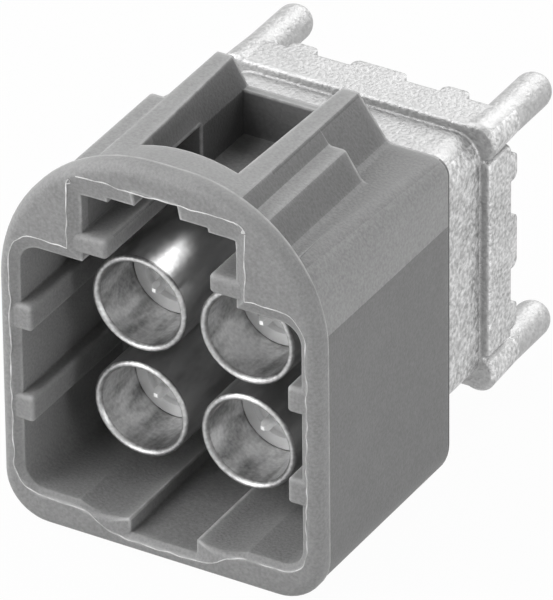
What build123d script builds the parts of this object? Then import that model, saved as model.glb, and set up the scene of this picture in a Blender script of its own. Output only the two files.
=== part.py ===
from build123d import *
import math
import os

# A four-port coaxial plug for a circuit board: a moulded housing with a latch arch over a square mating
# face, pushed onto a zinc die casting that carries the four outer contacts and the four corner posts
# that are soldered into the board. Each port holds an insulator and a signal pin.
# Millimetres. The origin is the centre of the port pattern on the board's surface. The mating face looks
# along -Y, the board lies in the XZ plane at y = 0, and the latch side is up, along +Z.

# Ports and their places along Y
PORT_PITCH = 4.0
HOUSING_DEPTH = 8.4
HOUSING_TO_BOARD = 6.15
RIM_RECESS = 2.2
HOUSING_BACK = -HOUSING_TO_BOARD
HOUSING_FRONT = HOUSING_BACK - HOUSING_DEPTH
RIM_Y = HOUSING_FRONT + RIM_RECESS
OVER = 0.5

# Housing: outside
BODY_WIDTH = 11.84
COLLAR_PROUD = 0.03
COLLAR_DEPTH = 0.65
COLLAR_EDGE_RADIUS = 0.4
BOTTOM_Z = -5.94
BOTTOM_CORNER_RADIUS = 1.65
ROOF_Z = 6.5
ARCH_TOP_Z = 8.68
ARCH_CENTRE_X = 0.85
LEFT_ARCH_CENTRE_X = 0.3
ARCH_CREASE_ANGLE = 22.0
SHOULDER_MIDDLE_INSET = 0.7
SHOULDER_MIDDLE_Z = 6.1
SHOULDER_TOP_INSET = 1.37
BACK_CORNER_RADIUS = 0.6
BACK_SPLIT_Z = 4.15
BACK_SPREAD = 0.03
LEFT_SHOULDER_RADIUS = 3.4
LEFT_FOOT_DROP = 1.1

# Housing: latch ridges on the roof
RIDGE_TOP_Z = 8.05
RIDGE_TOP_EDGE_X = 2.62
RIDGE_FOOT_X = 3.72
BLOCK_TOP_Z = 7.53
BLOCK_INNER_X = 3.02
BLOCK_TOP_EDGE_X = 3.6
BLOCK_FOOT_X = 4.26
BLOCK_END_GAP = 2.55
RIDGE_FOOT_RADIUS = 0.45
RIDGE_VALLEY_RADIUS = 0.2
RIDGE_EDGE_RADIUS = 0.1
BLOCK_EDGE_RADIUS = 0.2

# Housing: slot between the ridges and the bridge in front of it
SLOT_WIDTH = 2.96
SLOT_FLOOR_Z = 5.45
SLOT_TOP_Z = 7.1
SLOT_BACK_WALL = 0.3
BRIDGE_DEPTH = 2.2
BRIDGE_FRONT_DROP = 0.04
BRIDGE_BACK_DROP = 0.34
BRIDGE_CROWN_EDGE_X = 1.78
CHANNEL_WIDTH_FRONT = 3.56
CHANNEL_WIDTH_BACK = 4.1

# Housing: mating cavity
SIDE_WALL = 0.72
CAVITY_TOP_Z = 4.45
CAVITY_FLOOR_Z = -4.7
CAVITY_CORNER_RADIUS = 0.75
PARTITION_THICKNESS = 0.8
POCKET_DEPTH = 1.2
RELIEF_RADIUS = 2.93
GROOVE_WIDTH = 2.5
GROOVE_DEPTH = 0.65
LEAD_DEPTH = 0.22
LEAD_SIDE = 0.28
LEAD_FLOOR = 0.15
LEAD_TOP = 0.5
LEAD_BEND_START_X = 1.3
LEAD_BEND_END_X = 3.3

# Housing: latch space above the cavity, open to the front
NOTCH_WIDTH = 6.54
NOTCH_TOP_Z = 7.74
NOTCH_CORNER_RADIUS = 0.35
LATCH_WIDTH = 5.7
LATCH_SIDE_TOP_Z = 6.95
LATCH_MID_WIDTH = 3.7
LATCH_MID_TOP_Z = 7.15
LATCH_RELIEF_WIDTH = 1.68
LATCH_DEPTH = 5.45
LEDGE_TOP_Z = 5.5
LEDGE_THICKNESS = 0.72
LEDGE_GAP = 3.76
LEDGE_RECESS = 0.1
LEDGE_NOSE_RADIUS = 0.18

# Housing: guide ribs on the side walls
RIB_HEIGHT = 0.96
RIB_PROJECTION = 0.47
RIB_CENTRE_Z = 1.72
RIB_RECESS = 0.06
RIB_EDGE_RADIUS = 0.14

# Die casting
CASTING_CLEARANCE = 0.03
NECK_SIZE = 9.36
NECK_CORNER_RADIUS = 0.95
FLANGE_SIZE = 10.06
FLANGE_THICKNESS = 1.45
FLANGE_CORNER_RADIUS = 0.22
FLANGE_EDGE_RADIUS = 0.12
PAD_HEIGHT = 0.4
PAD_WIDTH = 0.7
PAD_LONG = 2.0
PAD_SHORT = 1.0
PAD_SHORT_CENTRE = 2.85
PAD_EDGE_RADIUS = 0.25
CORNER_STEP = 0.22
CORNER_STEP_LENGTH = 1.3
POST_ROOT_RADIUS = 0.72
POST_ROOT_CHAMFER = 0.12
POST_RADIUS = 0.65
POST_SPACING_X = 9.0
POST_SPACING_Z = 8.8
POST_LENGTH = 2.6

# Outer contacts, insulators and signal pins
BARREL_GAP = 0.5
BORE_RADIUS = 1.5
RIM_CHAMFER = 0.08
RIM_LIP = 0.08
RIM_LEAD_DEPTH = 0.14
BARREL_HOLE_CLEARANCE = 0.04
INSULATOR_RECESS = 2.2
INSULATOR_CLEARANCE = 0.02
INSULATOR_DISH_RADIUS = 1.05
INSULATOR_DISH_DEPTH = 0.25
INSULATOR_HEAD_RADIUS = 1.75
INSULATOR_HEAD_LENGTH = 0.6
PIN_RADIUS = 0.2
PIN_CLEARANCE = 0.01
PIN_RECESS = 0.97
PIN_TAIL = 2.3
PIN_TAIL_RADIUS = 0.18
PIN_TIP_LENGTH = 0.3
PIN_TIP_TAPER = 24.0
PIN_TAIL_CHAMFER = 0.08

# Worked-out places
BODY_HALF = BODY_WIDTH / 2
BACK_HALF = BODY_HALF + BACK_SPREAD
COLLAR_BACK = HOUSING_FRONT + COLLAR_DEPTH
CAVITY_HALF = BODY_HALF - SIDE_WALL
ARCH_CORNER_RADIUS = BODY_HALF - ARCH_CENTRE_X
LEFT_ARCH_CORNER_RADIUS = BODY_HALF - LEFT_ARCH_CENTRE_X
ARCH_CENTRE_Z = ARCH_TOP_Z - ARCH_CORNER_RADIUS
SHOULDER_TOP_X = BODY_HALF - SHOULDER_TOP_INSET
SLOT_FRONT = HOUSING_FRONT + BRIDGE_DEPTH
POCKET_FRONT = HOUSING_BACK - POCKET_DEPTH
PARTITION_FRONT = POCKET_FRONT - PARTITION_THICKNESS
BARREL_RADIUS = (PORT_PITCH - BARREL_GAP) / 2
FLANGE_BACK = -PAD_HEIGHT
FLANGE_FRONT = FLANGE_BACK - FLANGE_THICKNESS
PORTS = {
    "top_left": (-PORT_PITCH / 2, PORT_PITCH / 2),
    "top_right": (PORT_PITCH / 2, PORT_PITCH / 2),
    "bottom_left": (-PORT_PITCH / 2, -PORT_PITCH / 2),
    "bottom_right": (PORT_PITCH / 2, -PORT_PITCH / 2),
}


def cross_plane(y):
    """The plane across the connector at y, in which a sketch's x and y are the model's X and Z."""
    return Plane(origin=(0, y, 0), x_dir=(1, 0, 0), z_dir=(0, -1, 0))


def prism(sketch, front, back):
    """A cross-section carried along Y from front to back."""
    return extrude(cross_plane(back) * sketch, amount=back - front)


def blend(first, front, second, back):
    """A straight-lined solid between two cross-sections with the same number of edges."""
    return loft([cross_plane(front) * first, cross_plane(back) * second], ruled=True)


def polar(centre, radius, angle):
    """The point on a circle at an angle in degrees."""
    turn = math.radians(angle)
    return centre[0] + radius * math.cos(turn), centre[1] + radius * math.sin(turn)


def arc_points(centre, radius, start, end):
    """Start, middle and end of an arc."""
    return [polar(centre, radius, a) for a in (start, (start + end) / 2, end)]


def curve(points):
    """A line through two points, or an arc through three."""
    return Line(*points) if len(points) == 2 else ThreePointArc(*points)


def outline_face(right_half, left_half):
    """A face from two halves, each given on the right from the bottom centre to the top centre."""
    left_half = [[(-x, z) for x, z in reversed(points)] for points in reversed(left_half)]
    return make_face([curve(points) for points in right_half + left_half])


def mirrored_face(right_half):
    """A face whose left half mirrors the right one."""
    return outline_face(right_half, right_half)


def box(x_range, y_range, z_range):
    """A box between two values of each coordinate."""
    low, high = zip(x_range, y_range, z_range)
    centre = [(a + b) / 2 for a, b in zip(low, high)]
    return Pos(*centre) * Box(*[b - a for a, b in zip(low, high)])


def both_sides(solid):
    """A solid on the right and its mirror image on the left."""
    return solid + mirror(solid, about=Plane.YZ)


def lower_outline(half, bottom, side_top=ARCH_CENTRE_Z):
    """The curves of the right half from the bottom centre to the top of the straight side."""
    centre = (half - BOTTOM_CORNER_RADIUS, bottom + BOTTOM_CORNER_RADIUS)
    return [
        [(0, bottom), (centre[0], bottom)],
        arc_points(centre, BOTTOM_CORNER_RADIUS, -90, 0),
        [(half, centre[1]), (half, side_top)],
    ]


def collar_half(arch_radius):
    """Half of the mating face's outline, from its bottom centre round the arch to its top centre."""
    arch = (BODY_HALF - arch_radius, ARCH_TOP_Z - arch_radius)
    radius = arch_radius + COLLAR_PROUD
    curves = lower_outline(BODY_HALF + COLLAR_PROUD, BOTTOM_Z - COLLAR_PROUD, arch[1])
    curves.append(arc_points(arch, radius, 0, 90))
    curves.append([(arch[0], arch[1] + radius), (0, arch[1] + radius)])
    return curves


def collar_face():
    """The outline of the mating face: a flat bottom and an arched top, which is rounder on the left."""
    return outline_face(collar_half(ARCH_CORNER_RADIUS), collar_half(LEFT_ARCH_CORNER_RADIUS))


def left_shoulder(half):
    """The body's left half, which has one round shoulder along its whole depth."""
    centre = (half - LEFT_SHOULDER_RADIUS, ROOF_Z - LEFT_SHOULDER_RADIUS)
    left = lower_outline(half, BOTTOM_Z, centre[1])
    left.append(arc_points(centre, LEFT_SHOULDER_RADIUS, 0, 90))
    left.append([(centre[0], ROOF_Z), (0, ROOF_Z)])
    return left


def body_front_face():
    """The body behind the collar: on the right the arch's side, cut off flat at the roof."""
    arch = (ARCH_CENTRE_X, ARCH_CENTRE_Z)
    right = lower_outline(BODY_HALF, BOTTOM_Z)
    right.append(arc_points(arch, ARCH_CORNER_RADIUS, 0, ARCH_CREASE_ANGLE))
    middle = (BODY_HALF - SHOULDER_MIDDLE_INSET, SHOULDER_MIDDLE_Z)
    right.append([right[-1][-1], middle, (SHOULDER_TOP_X, ROOF_Z)])
    right.append([(SHOULDER_TOP_X, ROOF_Z), (0, ROOF_Z)])
    return outline_face(right, left_shoulder(BODY_HALF))


def body_back_face():
    """The body's rear end: on the right a square side up to a small corner at the roof."""
    corner = (BACK_HALF - BACK_CORNER_RADIUS, ROOF_Z - BACK_CORNER_RADIUS)
    right = lower_outline(BACK_HALF, BOTTOM_Z, BACK_SPLIT_Z)
    right.append([(BACK_HALF, BACK_SPLIT_Z), (BACK_HALF, corner[1])])
    right.append(arc_points(corner, BACK_CORNER_RADIUS, 0, 90))
    right.append([(corner[0], ROOF_Z), (0, ROOF_Z)])
    return outline_face(right, left_shoulder(BACK_HALF))


def at_point(sketch, point):
    """The sketch's vertex at a point."""
    return [v for v in sketch.vertices() if abs(v.X - point[0]) + abs(v.Y - point[1]) < 0.001]


def ridge_points(with_block):
    """The corners of the right ridge from its foot to its top edge, with the lower block or without."""
    if with_block:
        foot = [(BLOCK_FOOT_X, ROOF_Z), (BLOCK_TOP_EDGE_X, BLOCK_TOP_Z), (BLOCK_INNER_X, BLOCK_TOP_Z)]
    else:
        foot = [(RIDGE_FOOT_X, ROOF_Z)]
    return foot + [(RIDGE_TOP_EDGE_X, RIDGE_TOP_Z)]


def ridge_section(with_block, flat_foot):
    """A ridge across the roof, on a filleted foot or with its side carried down to the round shoulder."""
    corners = ridge_points(with_block)
    low = ROOF_Z - LEFT_FOOT_DROP
    slope = (corners[0][0] - corners[1][0]) / (corners[1][1] - corners[0][1])
    if flat_foot:
        toe = corners[0][0] + RIDGE_FOOT_RADIUS
        start = [(toe, low), (toe, ROOF_Z), corners[0]]
    else:
        start = [(corners[0][0] + slope * LEFT_FOOT_DROP, low)]
    points = [(0, low)] + start + corners[1:] + [(0, RIDGE_TOP_Z)]
    section = make_face(Polyline(*points, close=True))
    if flat_foot:
        section = fillet(at_point(section, corners[0]), RIDGE_FOOT_RADIUS)
    section = fillet(at_point(section, corners[-1]), RIDGE_EDGE_RADIUS)
    if with_block:
        section = fillet(at_point(section, corners[1]), BLOCK_EDGE_RADIUS)
        section = fillet(at_point(section, corners[2]), RIDGE_VALLEY_RADIUS)
    return section


def ridge(flat_foot):
    """One ridge along the roof with the block beside its front part."""
    whole = prism(ridge_section(False, flat_foot), COLLAR_BACK, HOUSING_BACK)
    return whole + prism(ridge_section(True, flat_foot), COLLAR_BACK, HOUSING_BACK - BLOCK_END_GAP)


def crown_arc(half, top, start_x, end_x):
    """Part of the bridge's arc, which rises to top and meets the ridges' level at half its width."""
    rise = top - RIDGE_TOP_Z
    radius = (half**2 + rise**2) / (2 * rise)
    angles = [math.degrees(math.acos(x / radius)) for x in (start_x, end_x)]
    return arc_points((0, top - radius), radius, *angles)


def bridge_face(shoulder, crown):
    """A section of the bridge from its foot in the roof over its shoulder to the middle of its crown."""
    half = RIDGE_TOP_EDGE_X
    low = ROOF_Z - OVER
    return mirrored_face([[(0, low), (half, low)], [(half, low), (half, RIDGE_TOP_Z)], shoulder, crown])


def bridge():
    """The web between the ridges: one arch right across at the collar, a narrower crown at the slot."""
    half, edge = RIDGE_TOP_EDGE_X, BRIDGE_CROWN_EDGE_X
    front_top = ARCH_TOP_Z - BRIDGE_FRONT_DROP
    back_top = ARCH_TOP_Z - BRIDGE_BACK_DROP
    front = bridge_face(crown_arc(half, front_top, half, edge), crown_arc(half, front_top, edge, 0))
    back = bridge_face([(half, RIDGE_TOP_Z), (edge, RIDGE_TOP_Z)], crown_arc(edge, back_top, edge, 0))
    return blend(front, COLLAR_BACK, back, SLOT_FRONT)


def housing_outside():
    """The housing before anything is cut out of it."""
    body = blend(body_front_face(), COLLAR_BACK, body_back_face(), HOUSING_BACK)
    collar = prism(collar_face(), HOUSING_FRONT, COLLAR_BACK)
    collar = fillet(collar.faces().sort_by(Axis.Y)[0].edges(), COLLAR_EDGE_RADIUS)
    return body + collar + bridge() + ridge(True) + mirror(ridge(False), about=Plane.YZ)


def channel_face(width_at_ridge_top):
    """The slanting sides of the channel above the slot, carried on past the bridge's crown."""
    half = SLOT_WIDTH / 2
    top = ARCH_TOP_Z + OVER
    slope = (width_at_ridge_top / 2 - half) / (RIDGE_TOP_Z - SLOT_TOP_Z)
    far = half + slope * (top - SLOT_TOP_Z)
    return Polygon((-half, SLOT_TOP_Z), (half, SLOT_TOP_Z), (far, top), (-far, top), align=None)


def slot_cut():
    """The slot between the ridges, closed by a thin rear wall, and the channel that widens above it."""
    half = SLOT_WIDTH / 2
    depth = (SLOT_FRONT, HOUSING_BACK - SLOT_BACK_WALL)
    slot = box((-half, half), depth, (SLOT_FLOOR_Z, ARCH_TOP_Z + OVER))
    front, back = channel_face(CHANNEL_WIDTH_FRONT), channel_face(CHANNEL_WIDTH_BACK)
    return slot + blend(front, SLOT_FRONT, back, HOUSING_BACK + OVER)


def cavity_upper(side, floor, top, radius):
    """The cavity's curves from the end of its floor round the side to the top centre."""
    return [
        arc_points((side - radius, floor + radius), radius, -90, 0),
        [(side, floor + radius), (side, top - radius)],
        arc_points((side - radius, top - radius), radius, 0, 90),
        [(side - radius, top), (0, top)],
    ]


def cavity_inner_face():
    """The cavity's section: a floor groove and round reliefs under the lower ports."""
    side = CAVITY_HALF
    groove = GROOVE_WIDTH / 2
    groove_z = CAVITY_FLOOR_Z - GROOVE_DEPTH
    port = (PORT_PITCH / 2, -PORT_PITCH / 2)
    start = -math.degrees(math.acos((groove - port[0]) / RELIEF_RADIUS))
    end = math.degrees(math.asin((CAVITY_FLOOR_Z - port[1]) / RELIEF_RADIUS))
    relief = arc_points(port, RELIEF_RADIUS, start, end)
    right = [[(0, groove_z), (groove, groove_z)], [(groove, groove_z), relief[0]], relief]
    right.append([relief[-1], (side - CAVITY_CORNER_RADIUS, CAVITY_FLOOR_Z)])
    return mirrored_face(right + cavity_upper(side, CAVITY_FLOOR_Z, CAVITY_TOP_Z, CAVITY_CORNER_RADIUS))


def double_bend(start, end):
    """Two arcs that leave one level and reach another without a corner."""
    middle = ((start[0] + end[0]) / 2, (start[1] + end[1]) / 2)
    run, rise = middle[0] - start[0], middle[1] - start[1]
    radius = (run**2 + rise**2) / (2 * rise)
    turn = math.atan2(rise, run)
    step = (radius * math.sin(turn), radius * (1 - math.cos(turn)))
    first = [start, (start[0] + step[0], start[1] + step[1]), middle]
    return first, [middle, (end[0] - step[0], end[1] - step[1]), end]


def cavity_mouth_face():
    """The lead-in's outline in the mating face, where the groove runs out into the floor."""
    side = CAVITY_HALF + LEAD_SIDE
    floor = CAVITY_FLOOR_Z - LEAD_FLOOR
    groove_z = floor - GROOVE_DEPTH
    radius = CAVITY_CORNER_RADIUS + LEAD_SIDE
    lower, upper = double_bend((LEAD_BEND_START_X, groove_z), (LEAD_BEND_END_X, floor))
    right = [[(0, groove_z), lower[0]], lower, upper, [upper[-1], (side - radius, floor)]]
    return mirrored_face(right + cavity_upper(side, floor, CAVITY_TOP_Z + LEAD_TOP, radius))


def cavity_cut():
    """The mating cavity and the lead-in round its mouth."""
    inner = cavity_inner_face()
    lead_back = HOUSING_FRONT + LEAD_DEPTH
    lead_in = blend(cavity_mouth_face(), HOUSING_FRONT, inner, lead_back)
    return lead_in + prism(inner, lead_back, PARTITION_FRONT)


def latch_cut():
    """The latch space between the ledges and the roof, and its mouth in the arch."""
    low = CAVITY_TOP_Z - OVER
    back = HOUSING_FRONT + LATCH_DEPTH
    half = LATCH_WIDTH / 2
    side = box((-half, half), (HOUSING_FRONT, back), (low, LATCH_SIDE_TOP_Z))
    side += box((-half, half), (HOUSING_FRONT, PARTITION_FRONT), (low, LEDGE_TOP_Z - LEDGE_THICKNESS))
    half = LATCH_MID_WIDTH / 2
    middle = box((-half, half), (HOUSING_FRONT, back), (low, LATCH_MID_TOP_Z))
    half = LATCH_RELIEF_WIDTH / 2
    relief = box((-half, half), (HOUSING_FRONT, SLOT_FRONT + OVER), (low, NOTCH_TOP_Z))
    mouth_z = (low + NOTCH_TOP_Z) / 2
    mouth = Pos(0, mouth_z) * RectangleRounded(NOTCH_WIDTH, NOTCH_TOP_Z - low, NOTCH_CORNER_RADIUS)
    inner_z = (low + LATCH_SIDE_TOP_Z) / 2
    inner = Pos(0, inner_z) * RectangleRounded(LATCH_WIDTH, LATCH_SIDE_TOP_Z - low, NOTCH_CORNER_RADIUS)
    return side + middle + relief + blend(mouth, HOUSING_FRONT, inner, HOUSING_FRONT + LEAD_DEPTH)


def ledges():
    """The two rails that close the cavity's top on both sides of the latch gap."""
    front = HOUSING_FRONT + LEDGE_RECESS
    back = HOUSING_FRONT + LATCH_DEPTH
    reach = (LEDGE_GAP / 2, NOTCH_WIDTH / 2 + OVER)
    bar = box(reach, (front, back), (LEDGE_TOP_Z - LEDGE_THICKNESS, LEDGE_TOP_Z))
    nose = bar.faces().sort_by(Axis.Y)[0].edges()
    tip = bar.edges().filter_by(Axis.Y).sort_by(Axis.X)[:2]
    return both_sides(fillet(nose + tip, LEDGE_NOSE_RADIUS))


def ribs():
    """The two guide ribs on each side wall."""
    wall = CAVITY_HALF
    front = HOUSING_FRONT + RIB_RECESS
    half = RIB_HEIGHT / 2
    rib = box((wall - RIB_PROJECTION, wall + OVER), (front, PARTITION_FRONT + OVER), (-half, half))
    nose = rib.faces().sort_by(Axis.Y)[0].edges()
    tip = rib.edges().filter_by(Axis.Y).sort_by(Axis.X)[:2]
    rib = fillet(nose + tip, RIB_EDGE_RADIUS)
    pair = Pos(0, 0, RIB_CENTRE_Z) * rib + Pos(0, 0, -RIB_CENTRE_Z) * rib
    return both_sides(pair)


def housing():
    """The moulded housing, with a pocket at the back for the casting's neck."""
    shell = housing_outside() - cavity_cut() - latch_cut() - slot_cut()
    shell = shell + ledges() + ribs()
    pocket = NECK_SIZE + 2 * CASTING_CLEARANCE
    shell -= prism(RectangleRounded(pocket, pocket, NECK_CORNER_RADIUS), POCKET_FRONT, HOUSING_BACK + OVER)
    for place in PORTS.values():
        hole = Pos(*place) * Circle(BARREL_RADIUS + BARREL_HOLE_CLEARANCE)
        shell -= prism(hole, PARTITION_FRONT - OVER, POCKET_FRONT + OVER)
    return shell


def at_port(solid, place):
    """A solid turned about Y, moved to a port."""
    return Pos(place[0], 0, place[1]) * solid


def turned(points):
    """A solid of revolution about Y from its radii and places along Y."""
    return revolve(make_face(Polyline(*points, close=True)), Axis.Y)


def barrel():
    """One outer contact: a tube with a narrow lip and a conical lead-in."""
    root = POCKET_FRONT + OVER
    lip = BARREL_RADIUS - RIM_CHAMFER
    return turned(
        [
            (BORE_RADIUS, root),
            (BARREL_RADIUS, root),
            (BARREL_RADIUS, RIM_Y + RIM_CHAMFER),
            (lip, RIM_Y),
            (lip - RIM_LIP, RIM_Y),
            (BORE_RADIUS, RIM_Y + RIM_LEAD_DEPTH),
        ]
    )


def post():
    """One corner post: a root that tapers through the flange, then a straight shank with a round end."""
    shank_end = POST_LENGTH - POST_RADIUS
    root_face = POST_ROOT_RADIUS - POST_ROOT_CHAMFER
    outline = Polyline(
        (0, shank_end),
        (0, FLANGE_FRONT),
        (root_face, FLANGE_FRONT),
        (POST_ROOT_RADIUS, FLANGE_FRONT + POST_ROOT_CHAMFER),
        (POST_RADIUS, 0),
        (POST_RADIUS, shank_end),
        close=True,
    )
    return revolve(make_face(outline), Axis.Y) + Pos(0, shank_end, 0) * Sphere(POST_RADIUS)


def plate(width, height):
    """A plate the thickness of the flange with rounded corners and front edges."""
    solid = prism(RectangleRounded(width, height, FLANGE_CORNER_RADIUS), FLANGE_FRONT, FLANGE_BACK)
    return fillet(solid.faces().sort_by(Axis.Y)[0].edges(), FLANGE_EDGE_RADIUS)


def pads():
    """The standoff pads along one side of the flange, for the board to rest on."""
    half = FLANGE_SIZE / 2
    row = []
    for centre, length in ((-PAD_SHORT_CENTRE, PAD_SHORT), (0, PAD_LONG), (PAD_SHORT_CENTRE, PAD_SHORT)):
        span = (centre - length / 2, centre + length / 2)
        pad = box(span, (FLANGE_BACK - OVER, 0), (half - PAD_WIDTH, half))
        row.append(fillet(pad.faces().sort_by(Axis.Y)[-1].edges().filter_by(Axis.Z), PAD_EDGE_RADIUS))
    return row


def flange():
    """The casting's rear plate, stepped in at the posts on its two sides, with its pads."""
    solid = plate(FLANGE_SIZE, FLANGE_SIZE - 2 * CORNER_STEP_LENGTH)
    solid += plate(FLANGE_SIZE - 2 * CORNER_STEP, FLANGE_SIZE)
    for turn in range(4):
        for pad in pads():
            solid += Rot(0, 90 * turn, 0) * pad
    return solid


def shield_casting():
    """The zinc die casting: neck, flange, corner posts and the four outer contacts in one piece."""
    neck = RectangleRounded(NECK_SIZE, NECK_SIZE, NECK_CORNER_RADIUS)
    casting = prism(neck, POCKET_FRONT, FLANGE_FRONT + OVER) + flange()
    for x in (-POST_SPACING_X / 2, POST_SPACING_X / 2):
        for z in (-POST_SPACING_Z / 2, POST_SPACING_Z / 2):
            casting += at_port(post(), (x, z))
    head = INSULATOR_HEAD_RADIUS + INSULATOR_CLEARANCE
    head_front = FLANGE_BACK - INSULATOR_HEAD_LENGTH
    for place in PORTS.values():
        casting += at_port(barrel(), place)
        casting -= prism(Pos(*place) * Circle(BORE_RADIUS), POCKET_FRONT - OVER, FLANGE_BACK + OVER)
        casting -= prism(Pos(*place) * Circle(head), head_front, FLANGE_BACK + OVER)
    return casting


def insulator():
    """One insulator: a plug with a dished front, stopped by a wider head at the back."""
    radius = BORE_RADIUS - INSULATOR_CLEARANCE
    front = RIM_Y + INSULATOR_RECESS
    dish = front + INSULATOR_DISH_DEPTH
    head_front = FLANGE_BACK - INSULATOR_HEAD_LENGTH
    hole = PIN_RADIUS + PIN_CLEARANCE
    return turned(
        [
            (hole, dish),
            (INSULATOR_DISH_RADIUS, dish),
            (INSULATOR_DISH_RADIUS, front),
            (radius, front),
            (radius, head_front),
            (INSULATOR_HEAD_RADIUS, head_front),
            (INSULATOR_HEAD_RADIUS, FLANGE_BACK),
            (hole, FLANGE_BACK),
        ]
    )


def signal_pin():
    """One signal pin: round wire with a thinner, chamfered tail and a four-sided coined tip."""
    tip = RIM_Y + PIN_RECESS
    shaft_front = tip + PIN_TIP_LENGTH
    wire = turned(
        [
            (0, PIN_TAIL),
            (PIN_TAIL_RADIUS - PIN_TAIL_CHAMFER, PIN_TAIL),
            (PIN_TAIL_RADIUS, PIN_TAIL - PIN_TAIL_CHAMFER),
            (PIN_TAIL_RADIUS, 0),
            (PIN_RADIUS, 0),
            (PIN_RADIUS, shaft_front),
            (0, shaft_front),
        ]
    )
    square = cross_plane(shaft_front) * Rectangle(2 * PIN_RADIUS, 2 * PIN_RADIUS)
    facets = extrude(square, amount=PIN_TIP_LENGTH, taper=PIN_TIP_TAPER)
    return wire + (facets & prism(Circle(PIN_RADIUS), tip, shaft_front))


def build():
    """Every piece by name."""
    pieces = {"housing": housing(), "shield_casting": shield_casting()}
    for name, place in PORTS.items():
        pieces["insulator_" + name] = at_port(insulator(), place)
        pieces["signal_pin_" + name] = at_port(signal_pin(), place)
    return pieces


os.makedirs("parts", exist_ok=True)
for node, solid in build().items():
    export_step(solid, f"parts/{node}.step")
    print(node, len(solid.solids()), "solid", round(solid.volume, 2), "mm3")
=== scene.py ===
# %% [markdown]
# # A plug connector for a circuit board
# The real object is a grey moulded housing pushed onto a light die casting. Four round outer contacts stand
# in the housing's mouth, each with an insulator and a signal pin inside, and four posts at the back are
# soldered into the board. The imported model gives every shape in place. This lesson gives each material its
# surface, lays a hair of moulding flash round the mouth, and lights the part as in a plain product picture.

import math

import bmesh
import bpy
from mathutils import Matrix, Vector, noise


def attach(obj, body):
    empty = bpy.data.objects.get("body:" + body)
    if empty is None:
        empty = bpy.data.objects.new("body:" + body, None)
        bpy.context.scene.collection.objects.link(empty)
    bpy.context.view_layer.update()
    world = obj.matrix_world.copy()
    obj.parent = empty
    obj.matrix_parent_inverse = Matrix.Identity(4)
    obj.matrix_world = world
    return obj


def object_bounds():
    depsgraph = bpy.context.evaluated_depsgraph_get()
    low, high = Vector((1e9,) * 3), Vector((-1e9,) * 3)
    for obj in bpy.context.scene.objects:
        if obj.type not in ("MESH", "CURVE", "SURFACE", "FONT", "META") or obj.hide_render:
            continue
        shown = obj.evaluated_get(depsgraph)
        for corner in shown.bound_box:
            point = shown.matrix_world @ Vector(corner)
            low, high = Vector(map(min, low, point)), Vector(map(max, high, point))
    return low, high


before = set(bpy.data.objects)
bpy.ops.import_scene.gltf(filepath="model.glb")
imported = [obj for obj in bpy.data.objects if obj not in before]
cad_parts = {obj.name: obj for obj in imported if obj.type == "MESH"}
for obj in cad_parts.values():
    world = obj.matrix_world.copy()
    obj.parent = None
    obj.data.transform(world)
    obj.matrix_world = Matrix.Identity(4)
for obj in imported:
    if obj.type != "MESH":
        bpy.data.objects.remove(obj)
cad_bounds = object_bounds()
MM = 0.001
print("nodes:", sorted(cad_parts))

# %% [markdown]
# ## Shared effects
# Moulded plastic and cast metal look different, but both are made of the same few effects: a fine grain, a
# slow drift of tone, and edges that catch the light. Each effect is a node group with its own inputs, so a
# material only says how strong the effect is there. Lengths are in metres, written as so many `MM`.


# %% Node group helper
def new_group(name, inputs, outputs):
    group = bpy.data.node_groups.new(name, "ShaderNodeTree")
    for label, kind, value in inputs:
        socket = group.interface.new_socket(label, in_out="INPUT", socket_type=kind)
        socket.default_value = value
    for label, kind in outputs:
        group.interface.new_socket(label, in_out="OUTPUT", socket_type=kind)
    return group, group.nodes.new("NodeGroupInput"), group.nodes.new("NodeGroupOutput")


def math_node(tree, operation, first, second, clamp=False):
    node = tree.nodes.new("ShaderNodeMath")
    node.operation = operation
    node.use_clamp = clamp
    for socket, value in zip(node.inputs, (first, second)):
        if isinstance(value, (int, float)):
            socket.default_value = value
        else:
            tree.links.new(value, socket)
    return node.outputs[0]


def size_of(tree, value):
    return math_node(tree, "ABSOLUTE", value, 0.0)


def over(tree, value, level):
    return math_node(tree, "GREATER_THAN", value, level)


def under(tree, value, level):
    return math_node(tree, "LESS_THAN", value, level)


def all_of(tree, *masks):
    result = masks[0]
    for mask in masks[1:]:
        result = math_node(tree, "MULTIPLY", result, mask)
    return result


def blend(tree, first, second, share):
    """The first value's share, and the rest from the second."""
    return math_node(tree, "ADD", math_node(tree, "MULTIPLY", first, share),
                     math_node(tree, "MULTIPLY", second, 1.0 - share))


def split_xyz(tree, socket):
    node = tree.nodes.new("ShaderNodeSeparateXYZ")
    tree.links.new(socket, node.inputs[0])
    return node.outputs


def place_group(tree, group, **values):
    """Place a group and set its inputs. An underscore in a keyword stands for a space in the label."""
    node = tree.nodes.new("ShaderNodeGroup")
    node.node_tree = group
    for label, value in values.items():
        node.inputs[label.replace("_", " ")].default_value = value
    return node


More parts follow.
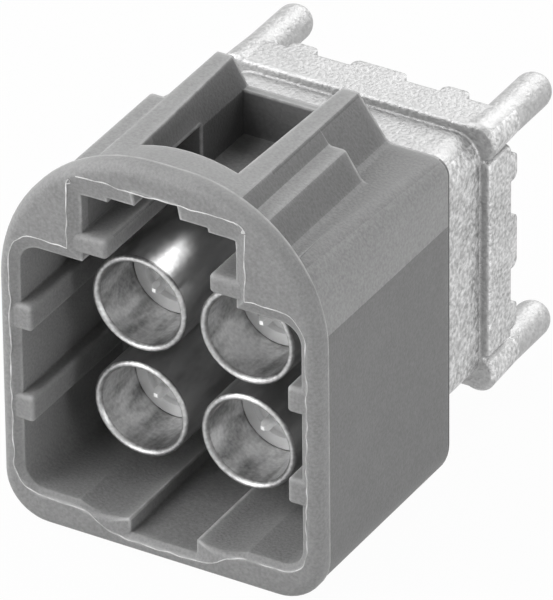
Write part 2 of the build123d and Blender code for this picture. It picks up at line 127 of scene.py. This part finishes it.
# %% The grain group
def make_grain():
    group, start, end = new_group(
        "grain",
        [
            ("Feature", "NodeSocketFloat", 0.1 * MM),
            ("Contrast", "NodeSocketFloat", 1.0),
            ("Detail", "NodeSocketFloat", 3.0),
            ("Across Y", "NodeSocketFloat", 1.0),
        ],
        [("Value", "NodeSocketFloat")],
    )
    place = group.nodes.new("ShaderNodeTexCoord")
    factors = group.nodes.new("ShaderNodeCombineXYZ")
    factors.inputs["X"].default_value = 1.0
    factors.inputs["Z"].default_value = 1.0
    group.links.new(start.outputs["Across Y"], factors.inputs["Y"])
    stretch = group.nodes.new("ShaderNodeVectorMath")
    stretch.operation = "MULTIPLY"
    group.links.new(place.outputs["Object"], stretch.inputs[0])
    group.links.new(factors.outputs["Vector"], stretch.inputs[1])
    cells = group.nodes.new("ShaderNodeTexNoise")
    group.links.new(stretch.outputs["Vector"], cells.inputs["Vector"])
    scale = math_node(group, "DIVIDE", 1.0, start.outputs["Feature"])
    group.links.new(scale, cells.inputs["Scale"])
    group.links.new(start.outputs["Detail"], cells.inputs["Detail"])
    centred = math_node(group, "SUBTRACT", cells.outputs["Fac"], 0.5)
    spread = math_node(group, "MULTIPLY", centred, start.outputs["Contrast"])
    shifted = math_node(group, "ADD", spread, 0.5, clamp=True)
    group.links.new(shifted, end.inputs["Value"])
    return group


grain_group = make_grain()
print("group", grain_group.name, "made")


# %% [markdown]
# An edge is where the surface is close to another side of the same body. Ambient occlusion that looks
# inwards finds just those places: over a flat wall its short rays meet nothing, and beside a convex edge
# about half of them come out again. The same node looking outwards finds corners and recesses, which get
# painted shade.


# %% The edge light and recess shade groups
OCCLUSION_SAMPLES = 8


def make_edge_light():
    group, start, end = new_group(
        "edge light",
        [
            ("Width", "NodeSocketFloat", 0.1 * MM),
            ("Gain", "NodeSocketFloat", 2.0),
            ("Unevenness", "NodeSocketFloat", 0.5),
            ("Feature", "NodeSocketFloat", 0.3 * MM),
        ],
        [("Mask", "NodeSocketFloat")],
    )
    inward = group.nodes.new("ShaderNodeAmbientOcclusion")
    inward.inside = True
    inward.only_local = True
    inward.samples = OCCLUSION_SAMPLES
    group.links.new(start.outputs["Width"], inward.inputs["Distance"])
    near = math_node(group, "SUBTRACT", 1.0, inward.outputs["AO"])
    mask = math_node(group, "MULTIPLY", near, start.outputs["Gain"], clamp=True)
    grain = place_group(group, grain_group, Contrast=3.0)
    group.links.new(start.outputs["Feature"], grain.inputs["Feature"])
    gap = math_node(group, "MULTIPLY", grain.outputs["Value"], start.outputs["Unevenness"])
    keep = math_node(group, "SUBTRACT", 1.0, gap)
    group.links.new(math_node(group, "MULTIPLY", mask, keep), end.inputs["Mask"])
    return group


def make_recess_shade():
    group, start, end = new_group(
        "recess_shade",
        [("Reach", "NodeSocketFloat", 1.0 * MM), ("Gain", "NodeSocketFloat", 1.0)],
        [("Mask", "NodeSocketFloat")],
    )
    outward = group.nodes.new("ShaderNodeAmbientOcclusion")
    outward.samples = OCCLUSION_SAMPLES
    group.links.new(start.outputs["Reach"], outward.inputs["Distance"])
    near = math_node(group, "SUBTRACT", 1.0, outward.outputs["AO"])
    mask = math_node(group, "MULTIPLY", near, start.outputs["Gain"], clamp=True)
    group.links.new(mask, end.inputs["Mask"])
    return group


edge_group = make_edge_light()
recess_shade_group = make_recess_shade()
print("groups", edge_group.name, "and", recess_shade_group.name, "made")


# %% [markdown]
# ## Materials
# Every material is a Principled shader with its own small network. Helpers make the empty material, spread a
# value over a range and mix two tones, so each finish below reads as a list of what is special about it.


# %% Material helpers
BEVEL_SAMPLES = 8


def new_material(name):
    material = bpy.data.materials.new(name)
    material.use_nodes = True
    tree = material.node_tree
    return material, tree, tree.nodes["Principled BSDF"]


def ramp_value(tree, source, low, high):
    node = tree.nodes.new("ShaderNodeMapRange")
    tree.links.new(source, node.inputs["Value"])
    node.inputs["To Min"].default_value = low
    node.inputs["To Max"].default_value = high
    return node.outputs["Result"]


def grey(value):
    return (value, value, value, 1.0)


def mix_value(tree, factor, first, second):
    node = tree.nodes.new("ShaderNodeMix")
    tree.links.new(factor, node.inputs["Factor"])
    for label, value in (("A", first), ("B", second)):
        if isinstance(value, (int, float)):
            node.inputs[label].default_value = value
        else:
            tree.links.new(value, node.inputs[label])
    return node.outputs["Result"]


def mix_colour(tree, factor, first, second):
    node = tree.nodes.new("ShaderNodeMix")
    node.data_type = "RGBA"
    tree.links.new(factor, node.inputs["Factor"])
    for label, value in (("A", first), ("B", second)):
        socket = [s for s in node.inputs if s.name == label and s.type == "RGBA"][0]
        if isinstance(value, tuple):
            socket.default_value = value
        else:
            tree.links.new(value, socket)
    return [s for s in node.outputs if s.type == "RGBA"][0]


def relief(tree, height, depth, rounding):
    """A bump over edges that the light sees as rounded."""
    soft = tree.nodes.new("ShaderNodeBevel")
    soft.samples = BEVEL_SAMPLES
    soft.inputs["Radius"].default_value = rounding
    node = tree.nodes.new("ShaderNodeBump")
    node.inputs["Distance"].default_value = depth
    tree.links.new(height, node.inputs["Height"])
    tree.links.new(soft.outputs["Normal"], node.inputs["Normal"])
    return node.outputs["Normal"]


# %% [markdown]
# ### Housing plastic
# The housing is moulded from glass-filled plastic in a mould with a finely eroded surface. It is matte, has
# a grain of about a tenth of a millimetre, and its edges show as thin pale lines that come and go. Painted
# shade makes the same plastic darker on the sides below the parting, on the slopes of the ridges and inside
# the slot, and painted light makes it paler on the band above the parting and on the ridge tops. Masks from
# the place and the direction say where each one is.


# %% Where painted light and shade go on the housing
PARTING_Z = 4.06 * MM
SIDE_X = 5.6 * MM
SLOPE_X = 4.5 * MM
SLOPE_Z = 5.4 * MM
SLOT_X = 2.7 * MM
SLOT_FRONT_Y = -11.7 * MM
TOP_Z = 7.3 * MM
COLLAR_BACK_Y = -13.9 * MM
REAR_EDGE_Y = -6.23 * MM
FACES_ASIDE = 0.6
FACES_UP = 0.8


def painted_light_masks(tree):
    """Where painted light and shade go on the housing, and how far up the surface looks.

    side_faces: painted shade on the sides below the parting and the slopes of the ridges.
    band_and_tops_painted_light:
    the band above the parting and the tops of the ridges. slot: painted shade on its walls. rear wall: more
    painted
    shade on the last of them. gap: a painted shadow line on the sides beside the casting.
    """
    place = tree.nodes.new("ShaderNodeTexCoord")
    at = split_xyz(tree, place.outputs["Object"])
    facing = split_xyz(tree, place.outputs["Normal"])
    sideways = size_of(tree, facing["X"])
    across = size_of(tree, at["X"])
    behind = over(tree, at["Y"], COLLAR_BACK_Y)
    outer = over(tree, across, SIDE_X)
    high = over(tree, at["Z"], SLOPE_Z)
    sides = all_of(tree, outer, under(tree, at["Z"], PARTING_Z))
    slopes = all_of(tree, under(tree, across, SLOPE_X), high)
    band = all_of(tree, behind, over(tree, facing["X"], FACES_ASIDE), over(tree, at["Z"], PARTING_Z),
                  over(tree, at["X"], SLOPE_X))
    tops = all_of(tree, behind, over(tree, facing["Z"], FACES_UP), over(tree, at["Z"], TOP_Z))
    slot = all_of(tree, under(tree, across, SLOT_X), over(tree, at["Y"], SLOT_FRONT_Y), high,
                  under(tree, facing["Z"], FACES_UP))
    masks = {
        "side_faces": all_of(tree, over(tree, sideways, FACES_ASIDE), behind,
                         math_node(tree, "MAXIMUM", sides, slopes)),
        "band_and_tops_painted_light": math_node(tree, "MAXIMUM", band, tops),
        "slot": slot,
        "rear wall": all_of(tree, slot, under(tree, sideways, FACES_ASIDE)),
        # gap: a painted shadow line on the sides at the rear edge, beside the casting.
        "gap": all_of(tree, outer, over(tree, at["Y"], REAR_EDGE_Y)),
    }
    return masks, facing["Z"]


# %% Housing plastic
PLASTIC_TONE = (0.225, 0.335)
PLASTIC_ROUGHNESS = (0.46, 0.6)
PLASTIC_SPECULAR = 0.35
FINE_SHARE = 0.75
# Painted shade on the side faces, the slot and its rear wall, painted light on the band and the tops, and a
# painted shadow line beside the casting.
PAINTED_LIGHT_FACTORS = {"side_faces": 0.72, "band_and_tops_painted_light": 1.2, "slot": 0.7, "rear wall": 0.7, "gap": 0.3}
# Rounded edges get a painted highlight where they look up; the line on the sharpest ones is paler still,
# part whitened wear and part painted highlight.
ROUNDED_HIGHLIGHT_GREY = 0.5
ROUNDED_HIGHLIGHT_SHARE = (0.15, 1.0)
EDGE_WEAR_AND_HIGHLIGHT_GREY = 0.7
EDGE_SHARE = 0.8


def make_housing_plastic():
    material, tree, shader = new_material("housing_plastic")
    shader.inputs["Specular IOR Level"].default_value = PLASTIC_SPECULAR
    fine = place_group(tree, grain_group, Feature=0.1 * MM, Contrast=2.6, Detail=3.0)
    cloud = place_group(tree, grain_group, Feature=1.4 * MM, Contrast=1.6, Detail=3.0)
    edge = place_group(tree, edge_group, Width=0.12 * MM, Gain=3.5, Unevenness=0.6, Feature=0.5 * MM)
    highlight_edges = place_group(tree, edge_group, Width=0.5 * MM, Gain=1.0, Unevenness=0.3, Feature=0.8 * MM)
    mottle = blend(tree, fine.outputs["Value"], cloud.outputs["Value"], FINE_SHARE)
    tone = ramp_value(tree, mottle, *PLASTIC_TONE)
    masks, upwards = painted_light_masks(tree)
    # Painted light and shade: each mask scales the plastic's tone by its factor.
    for label, factor in PAINTED_LIGHT_FACTORS.items():
        tone = math_node(tree, "MULTIPLY", tone, ramp_value(tree, masks[label], 1.0, factor))
    # Painted highlight on rounded edges, strongest where they look up.
    rounding = all_of(tree, highlight_edges.outputs["Mask"], ramp_value(tree, upwards, *ROUNDED_HIGHLIGHT_SHARE))
    body = mix_colour(tree, rounding, tone, grey(ROUNDED_HIGHLIGHT_GREY))
    # Pale edge line, part whitened wear and part painted highlight, left out on the painted shadow line
    # beside the casting.
    light = all_of(tree, edge.outputs["Mask"], ramp_value(tree, masks["gap"], EDGE_SHARE, 0.0))
    tree.links.new(mix_colour(tree, light, body, grey(EDGE_WEAR_AND_HIGHLIGHT_GREY)), shader.inputs["Base Color"])
    tree.links.new(ramp_value(tree, fine.outputs["Value"], *PLASTIC_ROUGHNESS), shader.inputs["Roughness"])
    surface = relief(tree, fine.outputs["Value"], depth=0.008 * MM, rounding=0.15 * MM)
    tree.links.new(surface, shader.inputs["Normal"])
    return material


# %% Flash plastic
# The pale tone is part whitened flash and part painted highlight.
FLASH_WHITENING_AND_HIGHLIGHT_TONE = (0.42, 0.92)
FLASH_ROUGHNESS = (0.4, 0.6)


def make_flash_plastic():
    material, tree, shader = new_material("flash_plastic")
    gaps = place_group(tree, grain_group, Feature=0.6 * MM, Contrast=3.0, Detail=3.0)
    fine = place_group(tree, grain_group, Feature=0.08 * MM, Contrast=1.5, Detail=3.0)
    colour = mix_colour(tree, gaps.outputs["Value"], *map(grey, FLASH_WHITENING_AND_HIGHLIGHT_TONE))
    tree.links.new(colour, shader.inputs["Base Color"])
    tree.links.new(ramp_value(tree, fine.outputs["Value"], *FLASH_ROUGHNESS), shader.inputs["Roughness"])
    return material


housing_plastic = make_housing_plastic()
flash_plastic = make_flash_plastic()
print("materials", housing_plastic.name, flash_plastic.name)

# %% [markdown]
# ### Tinned zinc
# The casting is light grey and finely mottled where it was only tumbled, more so on its sides, and much
# smoother on the tubes that make the contact. One material covers both, because it is one casting: a mask
# along Y turns the mottling down and the polish up in front of the neck, and another one finds the rims.
# Inside the tubes the plating is duller, with broad soft marks, and painted darker as shade, so one more
# mask uses the distance from the nearest tube's axis.

# %% Masks on the casting
NECK_FACE_Y = -7.35 * MM
RIM_BACK_Y = -12.2 * MM
PORT_AXIS = 2.0 * MM
BORE_MASK_RADIUS = 1.53 * MM
BOARD_Y = 0.0
CASTING_ASIDE = 0.7


def casting_masks(tree):
    """The tumbled part, its more mottled sides, the inside of the tubes, and their rims."""
    place = tree.nodes.new("ShaderNodeTexCoord")
    at = split_xyz(tree, place.outputs["Object"])
    facing = split_xyz(tree, place.outputs["Normal"])
    tumbled = over(tree, at["Y"], NECK_FACE_Y)
    side = all_of(tree, over(tree, size_of(tree, facing["X"]), CASTING_ASIDE), under(tree, at["Y"], BOARD_Y))
    squares = []
    for axis in ("X", "Z"):
        off = math_node(tree, "SUBTRACT", size_of(tree, at[axis]), PORT_AXIS)
        squares.append(math_node(tree, "MULTIPLY", off, off))
    away = math_node(tree, "SQRT", math_node(tree, "ADD", squares[0], squares[1]), 0.0)
    bore = under(tree, away, BORE_MASK_RADIUS)
    rim = under(tree, at["Y"], RIM_BACK_Y)
    return tumbled, side, bore, rim


# %% Tinned zinc
TUMBLED_TONE = (0.34, 0.54)
SIDE_TONE = (0.26, 0.83)
PITS_SHARE = 0.65
RECESS_SHADE_TONE = 0.2
RECESS_SHADE_SHARE = 0.45
TUBE_TONE = (0.6, 0.85)
TUBE_RELIEF = 0.12
BORE_SHADE_TONE = (0.27, 0.92)
MARKS_SHARE = 0.7
RIM_TONE = (0.38, 0.62)
TUMBLED_ROUGHNESS = (0.42, 0.62)
TUBE_ROUGHNESS = (0.3, 0.42)
BORE_ROUGHNESS = (0.28, 0.42)


def make_tinned_zinc():
    material, tree, shader = new_material("tinned_zinc")
    shader.inputs["Metallic"].default_value = 1.0
    tumbled, side, bore, rim = casting_masks(tree)
    pits = place_group(tree, grain_group, Feature=0.14 * MM, Contrast=2.6, Detail=4.0).outputs["Value"]
    cloud = place_group(tree, grain_group, Feature=0.9 * MM, Contrast=1.6, Detail=3.0).outputs["Value"]
    marks = place_group(tree, grain_group, Feature=0.7 * MM, Contrast=4.5, Detail=3.0, Across_Y=0.35)
    marks = marks.outputs["Value"]
    recess_shade = place_group(tree, recess_shade_group, Reach=0.4 * MM, Gain=1.3).outputs["Mask"]
    mottle = blend(tree, pits, cloud, PITS_SHARE)
    even = ramp_value(tree, mottle, *TUMBLED_TONE)
    side_faces = ramp_value(tree, mottle, *SIDE_TONE)
    cast = mix_value(tree, side, even, side_faces)
    # Painted shade: corners and recesses of the casting, and the line behind the housing's rear edge, are
    # darkened.
    cast = mix_value(tree, math_node(tree, "MULTIPLY", recess_shade, RECESS_SHADE_SHARE), cast, RECESS_SHADE_TONE)
    # Painted shade inside the bores, with broad soft marks.
    inside = ramp_value(tree, blend(tree, marks, pits, MARKS_SHARE), *BORE_SHADE_TONE)
    tube = mix_value(tree, bore, ramp_value(tree, marks, *TUBE_TONE), inside)
    tube = mix_value(tree, rim, tube, ramp_value(tree, pits, *RIM_TONE))
    tree.links.new(mix_value(tree, tumbled, tube, cast), shader.inputs["Base Color"])
    polish = mix_value(tree, bore, ramp_value(tree, pits, *TUBE_ROUGHNESS),
                       ramp_value(tree, marks, *BORE_ROUGHNESS))
    matte = ramp_value(tree, pits, *TUMBLED_ROUGHNESS)
    tree.links.new(mix_value(tree, tumbled, polish, matte), shader.inputs["Roughness"])
    height = math_node(tree, "MULTIPLY", pits, ramp_value(tree, tumbled, TUBE_RELIEF, 1.0))
    tree.links.new(relief(tree, height, depth=0.018 * MM, rounding=0.16 * MM), shader.inputs["Normal"])
    return material


tinned_zinc = make_tinned_zinc()
print("material", tinned_zinc.name)

# %% [markdown]
# ### Insulator and signal pin
# The insulators are a pale plastic, smooth and a little glossy, with painted shade at the foot of the pin
# and at the bore's wall. The pins are plated wire with a bright tip.


# %% Insulator and pin
INSULATOR_TONE = (0.78, 0.95)
INSULATOR_ROUGHNESS = (0.3, 0.5)
INSULATOR_SHADE_GREY = 0.15
INSULATOR_SHADE_SHARE = 0.25
PLATING_TONE = (0.85, 0.98)
PLATING_ROUGHNESS = (0.5, 0.64)


def make_insulator_plastic():
    material, tree, shader = new_material("insulator_plastic")
    cloud = place_group(tree, grain_group, Feature=0.6 * MM, Contrast=2.0, Detail=3.0)
    fine = place_group(tree, grain_group, Feature=0.12 * MM, Contrast=1.0, Detail=3.0)
    recess_shade = place_group(tree, recess_shade_group, Reach=0.6 * MM, Gain=1.2)
    body = mix_colour(tree, cloud.outputs["Value"], *map(grey, INSULATOR_TONE))
    # Painted shade at the foot of the pin and at the bore's wall.
    dark = math_node(tree, "MULTIPLY", recess_shade.outputs["Mask"], INSULATOR_SHADE_SHARE)
    colour = mix_colour(tree, dark, body, grey(INSULATOR_SHADE_GREY))
    tree.links.new(colour, shader.inputs["Base Color"])
    tree.links.new(ramp_value(tree, fine.outputs["Value"], *INSULATOR_ROUGHNESS), shader.inputs["Roughness"])
    surface = relief(tree, fine.outputs["Value"], depth=0.004 * MM, rounding=0.04 * MM)
    tree.links.new(surface, shader.inputs["Normal"])
    return material


def make_contact_plating():
    material, tree, shader = new_material("contact_plating")
    cloud = place_group(tree, grain_group, Feature=0.3 * MM, Contrast=2.0, Detail=3.0)
    shader.inputs["Metallic"].default_value = 1.0
    colour = mix_colour(tree, cloud.outputs["Value"], *map(grey, PLATING_TONE))
    tree.links.new(colour, shader.inputs["Base Color"])
    tree.links.new(ramp_value(tree, cloud.outputs["Value"], *PLATING_ROUGHNESS), shader.inputs["Roughness"])
    surface = relief(tree, cloud.outputs["Value"], depth=0.003 * MM, rounding=0.01 * MM)
    tree.links.new(surface, shader.inputs["Normal"])
    return material


insulator_plastic = make_insulator_plastic()
contact_plating = make_contact_plating()
print("materials", insulator_plastic.name, contact_plating.name)


# %% Finish every node
def finish_of(name):
    if name == "housing":
        return housing_plastic
    if name == "shield_casting":
        return tinned_zinc
    return insulator_plastic if name.startswith("insulator") else contact_plating


for name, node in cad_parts.items():
    node.data.materials.clear()
    node.data.materials.append(finish_of(name))
    print(name, "gets", finish_of(name).name)

# %% [markdown]
# ## The flash line round the mouth
# Where the mould's core meets its front plate, a hair of plastic is squeezed out. It shows as a pale,
# slightly wandering line round the mouth and the latch notch; its pale colour is part whitened plastic and
# part painted highlight. A bump can't stand proud of an edge, so the line is a real bead. Its path is read
# from the
# imported housing: the edges in the plane of the mating face that turn into the mouth.

# %% Find the mouth's edges
FRONT_PLANE_Y = cad_bounds[0][1]
ON_PLANE = 0.002 * MM
NEAR_PLANE = 0.06 * MM
NOTCH_FOOT_Z = 5.0 * MM
SHARP = math.radians(2.5)
MOUTH_MIDDLE = Vector((0, 0, 2.0)) * MM
WELD = 0.001 * MM


def opens_inwards(edge):
    """True where the slope beside the face looks towards the middle of the mouth, not over the collar."""
    slope = min(edge.link_faces, key=lambda face: abs(face.normal.y)).normal
    middle = (edge.verts[0].co + edge.verts[1].co) / 2 - MOUTH_MIDDLE
    return slope.x * middle.x + slope.z * middle.z < 0


def in_front_plane(vert):
    """Above the notch's foot the corners run a little into the collar's rounding: more room is given."""
    reach = NEAR_PLANE if vert.co.z > NOTCH_FOOT_Z else ON_PLANE
    return vert.co.y - FRONT_PLANE_Y < reach


def mouth_edges():
    work = bmesh.new()
    work.from_mesh(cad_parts["housing"].data)
    bmesh.ops.remove_doubles(work, verts=work.verts, dist=WELD)
    keep = {
        edge for edge in work.edges
        if all(in_front_plane(v) for v in edge.verts)
        and len(edge.link_faces) == 2 and edge.calc_face_angle() > SHARP and opens_inwards(edge)
    }
    bmesh.ops.delete(work, geom=[edge for edge in work.edges if edge not in keep], context="EDGES_FACES")
    bmesh.ops.delete(work, geom=[v for v in work.verts if not v.link_edges], context="VERTS")
    return work


edges = mouth_edges()
print(len(edges.edges), "edges,", round(sum(e.calc_length() for e in edges.edges) / MM, 2), "mm of outline")

# %% [markdown]
# The edges are walked from end to end, and each chain becomes one spline of a curve with a round section.
# The points wander a little in the plane of the face, by a smooth noise with a fixed seed, so that the line
# comes out uneven and yet the same each time.


# %% Walk the chains
FLASH_STEP = 0.12 * MM
SHORTEST_CHAIN = 0.4 * MM


def chains(work):
    """Each run of joined edges as a list of points."""
    left = set(work.edges)
    found = []
    while left:
        ends = [v for e in left for v in e.verts if sum(x in left for x in v.link_edges) != 2]
        vert = min(ends or [v for e in left for v in e.verts], key=lambda v: v.index)
        points = [vert.co.copy()]
        while True:
            following = [e for e in vert.link_edges if e in left]
            if not following:
                break
            left.discard(following[0])
            vert = following[0].other_vert(vert)
            points.append(vert.co.copy())
        found.append(points)
    return found


def divided(points):
    """The same line with a point about every FLASH_STEP."""
    fine = []
    for start, end in zip(points, points[1:]):
        parts = max(1, round((end - start).length / FLASH_STEP))
        fine += [start.lerp(end, k / parts) for k in range(parts)]
    return fine + [points[-1]]


def length_of(points):
    return sum((end - start).length for start, end in zip(points, points[1:]))


edges.verts.index_update()
found = chains(edges)
print([round(length_of(points) / MM, 2) for points in found], "mm, chains found")
lines = [divided(points) for points in found if length_of(points) > SHORTEST_CHAIN]
edges.free()
print([len(points) for points in lines], "points in the chains kept")


# %% Make the bead
FLASH_SEED = 4
FLASH_RADIUS = 0.02 * MM
FLASH_WANDER = 0.065 * MM
WANDER_FEATURE = 0.45 * MM
SWELL = 0.6
SWELL_FEATURE = 0.3 * MM


def make_flash():
    noise.seed_set(FLASH_SEED)
    curve = bpy.data.curves.new("mouth_flash", "CURVE")
    curve.dimensions = "3D"
    curve.bevel_depth = FLASH_RADIUS
    curve.bevel_resolution = 1
    curve.use_fill_caps = True
    for points in lines:
        closed = (points[0] - points[-1]).length < FLASH_RADIUS
        spline = curve.splines.new("POLY")
        spline.use_cyclic_u = closed
        used = points[:-1] if closed else points
        spline.points.add(len(used) - 1)
        for point, co in zip(spline.points, used):
            drift = noise.noise_vector(co / WANDER_FEATURE) * FLASH_WANDER
            point.co = (co.x + drift.x, co.y, co.z + drift.z, 1.0)
            point.radius = 1.0 + SWELL * noise.noise(co / SWELL_FEATURE)
    holder = bpy.data.objects.new("flash_path", curve)
    bpy.context.scene.collection.objects.link(holder)
    mesh = bpy.data.meshes.new_from_object(holder.evaluated_get(bpy.context.evaluated_depsgraph_get()))
    bpy.data.objects.remove(holder)
    mesh.name = "mouth_flash"
    bead = bpy.data.objects.new("mouth_flash", mesh)
    bpy.context.scene.collection.objects.link(bead)
    return bead


mouth_flash = make_flash()
mouth_flash.data.materials.clear()
mouth_flash.data.materials.append(flash_plastic)
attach(mouth_flash, "root")
print("flash line:", len(mouth_flash.data.polygons), "faces")

# %% [markdown]
# ## Floor, light and camera
# A product picture on white: a pale floor, four large soft lights from the front, the left, the right and
# behind, and pale surroundings for the metal to reflect. The floor is much brighter for the camera and for
# reflections than for the light that it throws back, so it reads as white and still keeps a faint shadow.


# %% Floor
FLOOR_Z = cad_bounds[0][2]
FLOOR_HALF = 2.0
FLOOR_GREY = 0.65
FLOOR_ROUGHNESS = 0.9
FLOOR_GLOW = 0.97


def make_floor():
    mesh = bpy.data.meshes.new("floor")
    work = bmesh.new()
    bmesh.ops.create_grid(work, x_segments=1, y_segments=1, size=FLOOR_HALF)
    work.to_mesh(mesh)
    work.free()
    floor = bpy.data.objects.new("floor", mesh)
    floor.location.z = FLOOR_Z
    bpy.context.scene.collection.objects.link(floor)
    material, tree, shader = new_material("pale_floor")
    shader.inputs["Base Color"].default_value = grey(FLOOR_GREY)
    shader.inputs["Roughness"].default_value = FLOOR_ROUGHNESS
    path = tree.nodes.new("ShaderNodeLightPath")
    seen = math_node(tree, "ADD", path.outputs["Is Camera Ray"], path.outputs["Is Glossy Ray"], clamp=True)
    seen = math_node(tree, "ADD", seen, path.outputs["Is Transmission Ray"], clamp=True)
    glow = tree.nodes.new("ShaderNodeEmission")
    glow.inputs["Color"].default_value = grey(1.0)
    mix = tree.nodes.new("ShaderNodeMixShader")
    tree.links.new(math_node(tree, "MULTIPLY", seen, FLOOR_GLOW), mix.inputs["Fac"])
    tree.links.new(shader.outputs["BSDF"], mix.inputs[1])
    tree.links.new(glow.outputs["Emission"], mix.inputs[2])
    tree.links.new(mix.outputs["Shader"], tree.nodes["Material Output"].inputs["Surface"])
    mesh.materials.append(material)
    return floor


floor = make_floor()
print("floor at", round(FLOOR_Z, 6))


# %% Lights
FILL = 0.04
LIGHT_DISTANCE = 0.12
# Name, direction from the part, side of the square in metres, power in watts.
LIGHTS = (
    ("front_light", (-0.6, -1.0, 0.5), 0.09, 0.078),
    ("left_light", (-0.8, -0.3, 0.9), 0.1, 0.086),
    ("right_light", (1.0, -0.25, 0.08), 0.08, 0.086),
    ("back_light", (0.1, 0.9, 0.8), 0.1, 0.084),
)


def soft_light(name, direction, size, power):
    lamp = bpy.data.lights.new(name, "AREA")
    lamp.shape = "SQUARE"
    lamp.size = size
    lamp.energy = power
    holder = bpy.data.objects.new(name, lamp)
    away = Vector(direction).normalized()
    holder.location = away * LIGHT_DISTANCE
    holder.rotation_euler = away.to_track_quat("Z", "Y").to_euler()
    bpy.context.scene.collection.objects.link(holder)


for light in LIGHTS:
    soft_light(*light)

world = bpy.data.worlds.new("studio")
world.use_nodes = True
bpy.context.scene.world = world
background = world.node_tree.nodes["Background"]
background.inputs["Color"].default_value = grey(1.0)
sky = world.node_tree
path = sky.nodes.new("ShaderNodeLightPath")
seen = math_node(sky, "ADD", path.outputs["Is Camera Ray"], path.outputs["Is Glossy Ray"], clamp=True)
level = math_node(sky, "ADD", math_node(sky, "MULTIPLY", seen, 1.0 - FILL), FILL)
sky.links.new(level, background.inputs["Strength"])
print("lights set")

# %% [markdown]
# The camera looks down at the mating face from the right through a long lens, as in the picture. Its place
# and lens were solved from the object's own right angles and the circles of the ports.

# %% Camera
CAMERA_AZIMUTH = math.radians(30.47)
CAMERA_ELEVATION = math.radians(32.079)
CAMERA_ROLL = math.radians(-0.612)
CAMERA_DISTANCE = 324.765 * MM
CAMERA_TARGET = Vector((1.7055, -9.9083, 1.9778)) * MM
LENS = 607.78
CLIP_START = 0.01


def make_camera():
    back = Vector((math.cos(CAMERA_ELEVATION) * math.sin(CAMERA_AZIMUTH),
                   -math.cos(CAMERA_ELEVATION) * math.cos(CAMERA_AZIMUTH), math.sin(CAMERA_ELEVATION)))
    level = Vector((math.cos(CAMERA_AZIMUTH), math.sin(CAMERA_AZIMUTH), 0))
    upright = back.cross(level)
    right = level * math.cos(CAMERA_ROLL) + upright * math.sin(CAMERA_ROLL)
    up = upright * math.cos(CAMERA_ROLL) - level * math.sin(CAMERA_ROLL)
    place = CAMERA_TARGET + back * CAMERA_DISTANCE
    lens = bpy.data.cameras.new("camera")
    lens.lens = LENS
    lens.clip_start = CLIP_START
    camera = bpy.data.objects.new("camera", lens)
    camera.matrix_world = Matrix((
        (right.x, up.x, back.x, place.x),
        (right.y, up.y, back.y, place.y),
        (right.z, up.z, back.z, place.z),
        (0, 0, 0, 1),
    ))
    bpy.context.scene.collection.objects.link(camera)
    return camera


bpy.context.scene.camera = make_camera()
bpy.context.scene.view_settings.view_transform = "Standard"
print("camera at", [round(v, 4) for v in bpy.context.scene.camera.matrix_world.translation])
